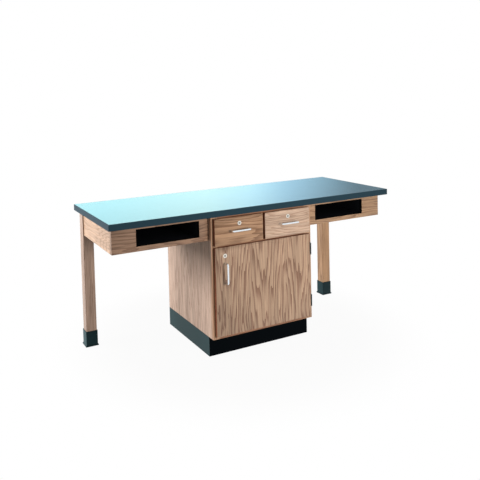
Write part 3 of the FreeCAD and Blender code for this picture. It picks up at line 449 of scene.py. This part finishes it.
# Shapes

def dress(node, finish_name):
    """Give a solid that keeps its own shape its material."""
    solid = frame["nodes"][node]
    solid.data.materials.clear()
    solid.data.materials.append(finish(finish_name))


# Points closer together than this are one point
WELD = 0.001 * MM
# Faces that meet at less than this angle lie in one plane
FLAT = math.radians(0.5)
# Faces that meet at more than this angle form an edge
SHARP = math.radians(35)
# How many strips of faces round an eased edge
EASE_STEPS = 2


def eased(node, finish_name, ease_width=0.0, other=None, where=None):
    """A piece with a solid's own shape, its edges taken off as sandpaper or a die leaves them.

    A width of 0 leaves the edges as the solid has them. Faces that the test where picks get the
    other finish.
    """
    shape = bmesh.new()
    shape.from_mesh(frame["nodes"][node].data)
    bmesh.ops.remove_doubles(shape, verts=shape.verts, dist=WELD)
    bmesh.ops.dissolve_limit(shape, angle_limit=FLAT, verts=shape.verts, edges=shape.edges)
    for face in shape.faces:
        # the facets of a round surface blend, and flat faces stay flat
        turns = [edge.calc_face_angle(math.pi) for edge in face.edges]
        face.smooth = min(turns) < SHARP
    mesh = bpy.data.meshes.new(node + "_finished")
    shape.to_mesh(mesh)
    shape.free()
    mesh.materials.append(finish(finish_name))
    if other:
        mesh.materials.append(finish(other))
        for face in mesh.polygons:
            face.material_index = int(where(face))
    piece = bpy.data.objects.new(node + "_finished", mesh)
    bpy.context.scene.collection.objects.link(piece)
    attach(piece, BODY_OF[node])
    if ease_width:
        bevel = piece.modifiers.new("eased edges", "BEVEL")
        bevel.width = ease_width
        bevel.segments = EASE_STEPS
        bevel.limit_method = "ANGLE"
        bevel.angle_limit = SHARP
        bevel.use_clamp_overlap = False
        bevel.harden_normals = True
    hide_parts(node)


# A face looks along an axis when its normal reaches this far along it
FACING = 0.5


def faces_front(face):
    """True for the faces that look out at the front."""
    return face.normal.y < -FACING


def faces_down(face):
    """True for the faces that look at the floor."""
    return face.normal.z < -FACING


def faces_sideways(face):
    """True for the faces that look left or right."""
    return abs(face.normal.x) > FACING


def inside_outline(node):
    """A test for the faces of a board's openings: those that lie inside its outline."""
    low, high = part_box(node)

    def test(face):
        within = [low[axis] + MM < face.center[axis] < high[axis] - MM for axis in (0, 2)]
        return all(within) and abs(face.normal.y) < FACING
    return test


# Settings

class BoardSettings(bpy.types.PropertyGroup):
    """How the boards' edges are eased."""

    board_ease: span("Board edges", "Radius on the edges of boards", 0.8)
    band_ease: span("Edge bands", "Radius on edge bands of doors and drawer fronts", 0.8)
    lumber_ease: span("Frame edges", "Radius on the edges of the face frame", 0.4)


class MetalSettings(bpy.types.PropertyGroup):
    """How the metal pieces' edges are eased."""

    sheet_ease: span("Sheet edges", "Radius on the edges of folded sheet", 0.3)
    fitting_ease: span("Fitting edges", "Radius on the edges of locks and hinges", 0.4)


class StudioSettings(bpy.types.PropertyGroup):
    """Camera, lamps and floor."""

    camera_place: FloatVectorProperty(name="Camera place", description="Where the camera stands",
                                      subtype="TRANSLATION", unit="LENGTH", size=3,
                                      default=(-1.6676, -2.9510, 1.3660))
    camera_yaw: FloatProperty(name="Yaw", description="Camera heading, from +Y towards +X",
                              unit="ROTATION", default=math.radians(27.558))
    camera_pitch: FloatProperty(name="Pitch", description="How far the camera looks down",
                                unit="ROTATION", default=math.radians(2.896))
    camera_roll: FloatProperty(name="Roll", description="Camera turn about its own view line",
                               unit="ROTATION", default=math.radians(1.452))
    lens: FloatProperty(name="Focal length", description="On a 36 mm wide sensor, in millimetres",
                        default=45.75)
    shift: FloatVectorProperty(name="Lens shift", description="Share of the sensor's width",
                               size=2, default=(0.0521, -0.25))
    floor_colour: colour("Floor", "Colour of the floor", "8C8C8C")
    card_left_colour: colour("Window left", "Left end of the card the worktop mirrors", "BEF7FF")
    card_colour: colour("Window middle", "Brightest part of that card", "D0FCFF")
    card_far_colour: colour("Window right", "Dim right end of that card", "B4E6FF")
    sky_colour: colour("Room", "Colour of the soft light from all around", "F2E2D4")


# Pieces

class WORKBENCH_OT_worktop(bpy.types.Operator):
    """Laminate, its edge band and the board under them"""

    bl_idname = "workbench.worktop"
    bl_label = "Worktop"

    def execute(self, context):
        eased("worktop_core", "chipboard", context.scene.workbench_boards.lumber_ease,
              other="backer", where=faces_down)
        dress("worktop_laminate", "laminate")
        dress("worktop_edge_band", "laminate edge")
        return {"FINISHED"}


class WORKBENCH_OT_cabinet(bpy.types.Operator):
    """Sides, back, floor, rails, deck and partition of the cabinet"""

    bl_idname = "workbench.cabinet"
    bl_label = "Cabinet"

    def execute(self, context):
        ease = context.scene.workbench_boards.board_ease
        for node in ("cabinet_side_left", "cabinet_side_right"):
            eased(node, "side oak", ease)
        eased("cabinet_back_panel", "back oak", ease)
        for node in ("cabinet_floor", "cabinet_top_rails", "drawer_deck", "drawer_partition",
                     "slide_spacers"):
            dress(node, "birch")
        eased("face_frame_stiles", "stile oak", context.scene.workbench_boards.lumber_ease)
        # the rails take the oak with painted shade
        eased("face_frame_rails", "rail oak", context.scene.workbench_boards.lumber_ease)
        eased("shelf", "birch", ease)
        return {"FINISHED"}


class WORKBENCH_OT_base(bpy.types.Operator):
    """Black boards under the cabinet"""

    bl_idname = "workbench.base"
    bl_label = "Base"

    def execute(self, context):
        # the base's side faces take the copy with painted sheen
        eased("toe_kick_boards", "black base", other="base side", where=faces_sideways)
        return {"FINISHED"}


class WORKBENCH_OT_wings(bpy.types.Operator):
    """Front boards, end panels and back rails beside the cabinet"""

    bl_idname = "workbench.wings"
    bl_label = "Wings"

    def execute(self, context):
        ease = context.scene.workbench_boards.board_ease
        for name in ("left", "right"):
            node = f"wing_front_{name}"
            eased(node, f"{name} wing oak", ease, other="edge paint", where=inside_outline(node))
            eased(f"wing_end_{name}", "end oak", ease)
        eased("wing_back_rails", "right wing oak", ease)
        return {"FINISHED"}


class WORKBENCH_OT_book_boxes(bpy.types.Operator):
    """The sheet steel trays for books"""

    bl_idname = "workbench.book_boxes"
    bl_label = "Book boxes"

    def execute(self, context):
        for name in ("left", "right"):
            eased(f"book_box_{name}", "black steel", context.scene.workbench_metal.sheet_ease)
        return {"FINISHED"}


class WORKBENCH_OT_legs(bpy.types.Operator):
    """Legs, their boots and their glides"""

    bl_idname = "workbench.legs"
    bl_label = "Legs"

    def execute(self, context):
        for name in ("left", "right"):
            dress(f"leg_{name}", f"{name} leg oak")
            dress(f"glide_{name}", "zinc")
        # boots are moulded with their edges rounded
        # the left boot's sides take the rubber's copy with painted sheen
        eased("leg_boot_left", "boot rubber", other="boot side", where=faces_sideways)
        eased("leg_boot_right", "boot rubber")
        return {"FINISHED"}


class WORKBENCH_OT_drawers(bpy.types.Operator):
    """Drawer fronts and boxes"""

    bl_idname = "workbench.drawers"
    bl_label = "Drawers"

    def execute(self, context):
        boards = context.scene.workbench_boards
        for name in ("left", "right"):
            node = f"drawer_{name}"
            veneer = f"{name} drawer oak"
            eased(f"{node}_front", veneer, boards.lumber_ease)
            # the bands' sides, seen in the gaps, take the painted shade, and their front faces the
            # veneer
            eased(f"{node}_edge_band", "dark edge", boards.band_ease, other=veneer,
                  where=faces_front)
            dress(f"{node}_box", "birch")
            dress(f"{node}_bottom", "birch")
        return {"FINISHED"}


class WORKBENCH_OT_door(bpy.types.Operator):
    """The door and its edge band"""

    bl_idname = "workbench.door"
    bl_label = "Door"

    def execute(self, context):
        boards = context.scene.workbench_boards
        eased("door_panel", "door oak", boards.lumber_ease)
        # the band's sides, seen in the gaps, take the painted shade, and its front face the veneer
        eased("door_edge_band", "dark edge", boards.band_ease, other="door oak", where=faces_front)
        return {"FINISHED"}


class WORKBENCH_OT_fittings(bpy.types.Operator):
    """Pulls, locks and hinges"""

    bl_idname = "workbench.fittings"
    bl_label = "Pulls, locks and hinges"

    def execute(self, context):
        ease = context.scene.workbench_metal.fitting_ease
        for node in ("door", "drawer_left", "drawer_right"):
            dress(f"{node}_pull", "chrome")
            eased(f"{node}_lock_barrel", "nickel", ease)
            # the plugs take the nickel greyed as painted shade
            eased(f"{node}_lock_plug", "worn nickel", ease)
        for node in ("hinge_frame_leaves", "hinge_door_leaves"):
            eased(node, "black hinge", ease)
        dress("hinge_pins", "zinc")
        return {"FINISHED"}


class WORKBENCH_OT_hardware(bpy.types.Operator):
    """Slides, brackets, bolts, screws and shelf pins"""

    bl_idname = "workbench.hardware"
    bl_label = "Slides and fasteners"

    def execute(self, context):
        for node in ("slide_outer_members", "drawer_left_slide_middles", "drawer_left_slide_inners",
                     "drawer_right_slide_middles", "drawer_right_slide_inners", "corner_brackets"):
            eased(node, "zinc", context.scene.workbench_metal.sheet_ease)
        for node in ("hanger_bolts", "worktop_screws", "shelf_pins"):
            dress(node, "zinc")
        return {"FINISHED"}


class WORKBENCH_OT_studio(bpy.types.Operator):
    """Floor, lamps, room and camera"""

    bl_idname = "workbench.studio"
    bl_label = "Studio"

    def execute(self, context):
        studio = context.scene.workbench_studio
        build_room(studio)
        build_floor(studio)
        build_window_card(studio)
        for soft_box in SOFT_BOXES:
            lamp(*soft_box)
        build_camera(studio)
        return {"FINISHED"}


# Width of the camera's sensor in millimetres, and how far the camera sees in metres
SENSOR_WIDTH = 36.0
SIGHT = 100


def build_camera(studio):
    """A camera to the left that looks a little down, its lens shifted as the picture needs."""
    lens = bpy.data.cameras.new("camera")
    lens.lens = studio.lens
    lens.sensor_width = SENSOR_WIDTH
    lens.shift_x, lens.shift_y = studio.shift
    lens.clip_end = SIGHT
    camera = bpy.data.objects.new("camera", lens)
    bpy.context.scene.collection.objects.link(camera)
    camera.matrix_world = (Matrix.Translation(studio.camera_place)
                           @ Matrix.Rotation(-studio.camera_yaw, 4, "Z")
                           @ Matrix.Rotation(math.pi / 2 - studio.camera_pitch, 4, "X")
                           @ Matrix.Rotation(-studio.camera_roll, 4, "Z"))
    bpy.context.scene.camera = camera


def sees_background(tree):
    """1 for rays that show the background: those of the camera, mirrors and clear things."""
    rays = add(tree, "LightPath").outputs
    seen = add(tree, "Math", {0: rays["Is Camera Ray"], 1: rays["Is Glossy Ray"]}, operation="ADD")
    return add(tree, "Math", {0: seen.outputs[0], 1: rays["Is Transmission Ray"]},
               operation="ADD", use_clamp=True).outputs[0]


# Strength of the soft light from all around
ROOM_STRENGTH = 0.42


def build_room(studio):
    """White to the eye and in mirrors, a softer grey as light on the bench."""
    world = bpy.data.worlds.new("room")
    world.use_nodes = True
    tree = world.node_tree
    tree.nodes.clear()
    white = add(tree, "Background", {"Color": (1, 1, 1, 1), "Strength": 1.0})
    soft = add(tree, "Background", {"Color": studio.sky_colour, "Strength": ROOM_STRENGTH})
    both = add(tree, "MixShader", {0: sees_background(tree), 1: soft.outputs[0],
                                   2: white.outputs[0]})
    add(tree, "OutputWorld", {"Surface": both.outputs[0]})
    bpy.context.scene.world = world


def stage_plane(name, width, depth, material):
    """A flat stage piece that isn't part of the bench."""
    shape = bmesh.new()
    # a grid of size 0.5 is 1 m wide and deep
    bmesh.ops.create_grid(shape, x_segments=1, y_segments=1, size=0.5,
                          matrix=Matrix.Diagonal((width, depth, 1, 1)))
    mesh = bpy.data.meshes.new(name)
    shape.to_mesh(mesh)
    shape.free()
    mesh.materials.append(material)
    plane = bpy.data.objects.new(name, mesh)
    bpy.context.scene.collection.objects.link(plane)
    return plane


# The floor is this wide, in metres. Around the bench this share of it is plain white and the
# rest shows the shadow, and between these distances all of it becomes white.
FLOOR_WIDTH = 60
FLOOR_WHITE = 0.95
FLOOR_FADE = (0.6, 1.1)
FLOOR_ROUGHNESS = 0.9


def build_floor(studio):
    """A floor that keeps the bench's shadow and shows white, but throws little light back."""
    material, tree, surface = new_material("painted_studio_floor_matt", Specular_IOR_Level=0.0,
                                           Roughness=FLOOR_ROUGHNESS,
                                           Base_Color=studio.floor_colour)
    place = add(tree, "TexCoord").outputs["Object"]
    reach = add(tree, "VectorMath", {0: place}, operation="LENGTH").outputs["Value"]
    fade = add(tree, "MapRange", {"Value": reach, "From Min": FLOOR_FADE[0],
                                  "From Max": FLOOR_FADE[1], "To Min": FLOOR_WHITE},
               interpolation_type="SMOOTHSTEP").outputs[0]
    seen = add(tree, "Math", {0: fade, 1: sees_background(tree)}, operation="MULTIPLY").outputs[0]
    white = add(tree, "Emission", {"Color": (1, 1, 1, 1), "Strength": 1.0})
    both = add(tree, "MixShader", {0: seen, 1: surface.outputs[0], 2: white.outputs[0]})
    tree.links.new(both.outputs[0], tree.get_output_node("ALL").inputs["Surface"])
    stage_plane("studio_floor", FLOOR_WIDTH, FLOOR_WIDTH, material)


# Width, height and place of the window card, in metres
CARD_SIZE = (4.8, 0.9)
CARD_PLACE = (1.45, 2.0, 1.3)
# Where its left, middle and right colours are reached, from its own middle
CARD_HUES_AT = (-1.6, -0.66, 0.25)
# Where its brightness starts and ends to fade, and its strengths there
CARD_FADE_AT = (-0.15, 1.12)
CARD_STRENGTHS = (3.5, 0.66)


def build_window_card(studio):
    """A bright card behind the bench, as a window would be: only the worktop's gloss shows it."""
    material = bpy.data.materials.new("window_card_bright_paper")
    material.use_nodes = True
    tree = material.node_tree
    tree.nodes.clear()
    place = add(tree, "TexCoord").outputs["Object"]
    across = add(tree, "SeparateXYZ", {0: place}).outputs["X"]
    left, middle, right = CARD_HUES_AT
    near = add(tree, "MapRange", {"Value": across, "From Min": left, "From Max": middle}).outputs[0]
    far = add(tree, "MapRange", {"Value": across, "From Min": middle, "From Max": right}).outputs[0]
    hue = add(tree, "Mix", {"Factor": near, MIX_FROM: studio.card_left_colour,
                            MIX_TO: studio.card_colour}, data_type="RGBA").outputs[MIXED]
    hue = add(tree, "Mix", {"Factor": far, MIX_FROM: hue, MIX_TO: studio.card_far_colour},
              data_type="RGBA").outputs[MIXED]
    power = add(tree, "MapRange", {"Value": across, "From Min": CARD_FADE_AT[0],
                                   "From Max": CARD_FADE_AT[1], "To Min": CARD_STRENGTHS[0],
                                   "To Max": CARD_STRENGTHS[1]}).outputs[0]
    glow = add(tree, "Emission", {"Color": hue, "Strength": power})
    add(tree, "OutputMaterial", {"Surface": glow.outputs[0]})
    card = stage_plane("studio_window_card", *CARD_SIZE, material)
    card.rotation_euler = (math.pi / 2, 0, 0)
    card.location = CARD_PLACE
    card.visible_camera = False
    card.visible_diffuse = False
    card.visible_transmission = False
    card.visible_shadow = False


def lamp(name, place, target, width, height, power, tint):
    """A soft box: a flat lamp that points at a target."""
    light = bpy.data.lights.new(name, "AREA")
    light.shape = "RECTANGLE"
    light.size, light.size_y = width, height
    light.energy = power
    light.color = linear(tint)[:3]
    holder = bpy.data.objects.new(name, light)
    bpy.context.scene.collection.objects.link(holder)
    holder.location = place
    holder.rotation_euler = (Vector(target) - Vector(place)).to_track_quat("-Z", "Y").to_euler()
    holder.visible_camera = False
    holder.visible_glossy = False


# Soft boxes: name, place and target, width and height in metres, watts and colour. The main one
# stands in front, a little to the right, and the others light the sides and the back.
SOFT_BOXES = (
    ("front_soft_box", (0.35, -2.5, 0.95), (-0.1, -0.2, 0.45), 0.6, 0.6, 50, "FFF7F0"),
    ("left_soft_box", (-2.6, 1.0, 1.3), (-0.3, 0, 0.35), 1.2, 0.9, 82, "FFFAF8"),
    ("rear_soft_box", (-0.6, 2.6, 0.8), (0.7, 0.2, 0.4), 1.6, 1.0, 20, "FFFFFF"),
    ("right_soft_box", (3.0, 0.4, 1.3), (0.5, 0, 0.4), 1.0, 1.0, 60, "FFFFFF"),
)


OPERATORS = (WORKBENCH_OT_worktop, WORKBENCH_OT_cabinet, WORKBENCH_OT_base, WORKBENCH_OT_wings,
             WORKBENCH_OT_book_boxes, WORKBENCH_OT_legs, WORKBENCH_OT_drawers, WORKBENCH_OT_door,
             WORKBENCH_OT_fittings, WORKBENCH_OT_hardware, WORKBENCH_OT_studio)
SETTINGS = {"workbench_finishes": FinishSettings, "workbench_boards": BoardSettings,
            "workbench_metal": MetalSettings, "workbench_studio": StudioSettings}


class WORKBENCH_PT_sidebar(bpy.types.Panel):
    """Buttons for each group of pieces, with their settings"""

    bl_idname = "WORKBENCH_PT_sidebar"
    bl_label = "Laboratory workbench"
    bl_space_type = "VIEW_3D"
    bl_region_type = "UI"
    bl_category = "Workbench"

    def draw(self, context):
        for operator in OPERATORS:
            self.layout.operator(operator.bl_idname)
        for name, group in SETTINGS.items():
            column = self.layout.column()
            for key in group.__annotations__:
                column.prop(getattr(context.scene, name), key)


def register():
    """Add the classes and their settings to Blender."""
    for group in (*SETTINGS.values(), *OPERATORS, WORKBENCH_PT_sidebar):
        bpy.utils.register_class(group)
    for name, group in SETTINGS.items():
        setattr(bpy.types.Scene, name, PointerProperty(type=group))


def unregister():
    """Take them out again."""
    for name in SETTINGS:
        delattr(bpy.types.Scene, name)
    for group in (WORKBENCH_PT_sidebar, *reversed(OPERATORS), *SETTINGS.values()):
        bpy.utils.unregister_class(group)


def main():
    """Make every piece in turn."""
    register()
    bpy.context.scene.view_settings.view_transform = "Standard"
    for operator in OPERATORS:
        group, name = operator.bl_idname.split(".")
        getattr(getattr(bpy.ops, group), name)()


if __name__ == "__main__":
    main()
